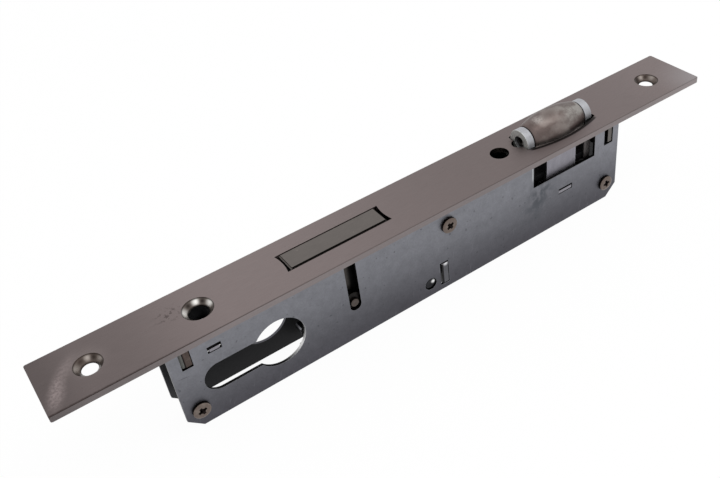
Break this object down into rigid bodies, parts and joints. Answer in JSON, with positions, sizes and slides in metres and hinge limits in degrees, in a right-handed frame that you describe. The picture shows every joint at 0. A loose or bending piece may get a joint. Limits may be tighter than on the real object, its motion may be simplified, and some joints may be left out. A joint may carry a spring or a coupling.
{
  "type": "roller mortise lock",
  "caption": "Narrow mortise lock case with a lever-driven sliding deadbolt, a profile cylinder opening and an adjustable sprung roller behind a flat forend.",
  "frame": {"origin": "centre of the forend's outer face, midway between its two fixing holes", "axes": "+X along the forend towards the roller, +Z out of the door edge, -Y towards the case cover"},
  "size_m": [0.235, 0.022, 0.0428],
  "materials": {
    "forend_satin": "satin nickel, warm grey-brown",
    "zinc_plate": "zinc-plated sheet steel",
    "screw_nickel": "nickel-plated",
    "bright_steel": "bright",
    "bolt_steel": "ground steel",
    "lever_steel": "stamped steel",
    "spring_steel": "spring wire and strip",
    "roller_steel": "turned and polished",
    "zinc_cast": "pale die-cast zinc"
  },
  "bodies": {
    "root": {"forend": "forend_satin", "lower_lug": "forend_satin", "upper_lug": "forend_satin", "case_body": "zinc_plate", "case_cover": "zinc_plate", "cover_posts": "zinc_plate", "cover_screws": "screw_nickel", "screw_guide": "bright_steel", "lever_pivot": "bright_steel", "lever_spacers": "lever_steel", "spring_anchor": "zinc_plate", "detent_spring": "spring_steel", "roller_springs": "spring_steel", "spring_seat": "bright_steel", "screw_bracket": "zinc_plate"},
    "bolt": {"deadbolt": "bolt_steel", "bolt_guide_pin": "bright_steel", "bolt_washers": "bright_steel"},
    "lever": {"drive_lever": "lever_steel"},
    "adjuster": {"adjusting_screw": "bright_steel", "screw_clip": "spring_steel"},
    "yoke": {"adjusting_yoke": "zinc_cast"},
    "carriage": {"roller_carriage": "zinc_cast", "roller_pin": "bright_steel"},
    "roller": {"roller": "roller_steel"}
  },
  "joints": [
    {"name": "bolt_slide", "type": "slide", "parent": "root", "child": "bolt", "axis": [0, 0, 1], "range_m": [0, 0.0145]},
    {"name": "lever_turn", "type": "hinge", "parent": "root", "child": "lever", "pos_m": [0.001, 0, -0.0311], "axis": [0, 1, 0], "range_deg": [0, 22.12], "deforming": ["detent_spring"]},
    {"name": "screw_turn", "type": "hinge", "parent": "root", "child": "adjuster", "pos_m": [0.0366, 0, -0.01], "axis": [0, 0, 1], "range_deg": [0, 617.1]},
    {"name": "yoke_slide", "type": "slide", "parent": "root", "child": "yoke", "axis": [0, 0, -1], "range_m": [0, 0.0012]},
    {"name": "carriage_slide", "type": "slide", "parent": "yoke", "child": "carriage", "axis": [0, 0, -1], "range_m": [0, 0.004], "stiffness_N_per_m": 3000, "springref_m": -0.0033, "deforming": ["roller_springs"]},
    {"name": "roller_spin", "type": "hinge", "parent": "carriage", "child": "roller", "pos_m": [0.059, 0.0006, 0.0003], "axis": [1, 0, 0], "continuous": true}
  ],
  "couplings": [
    {"joint": "lever_turn", "follows": "bolt_slide", "rad_per_m": 26.628},
    {"joint": "screw_turn", "follows": "yoke_slide", "rad_per_m": 8976}
  ]
}
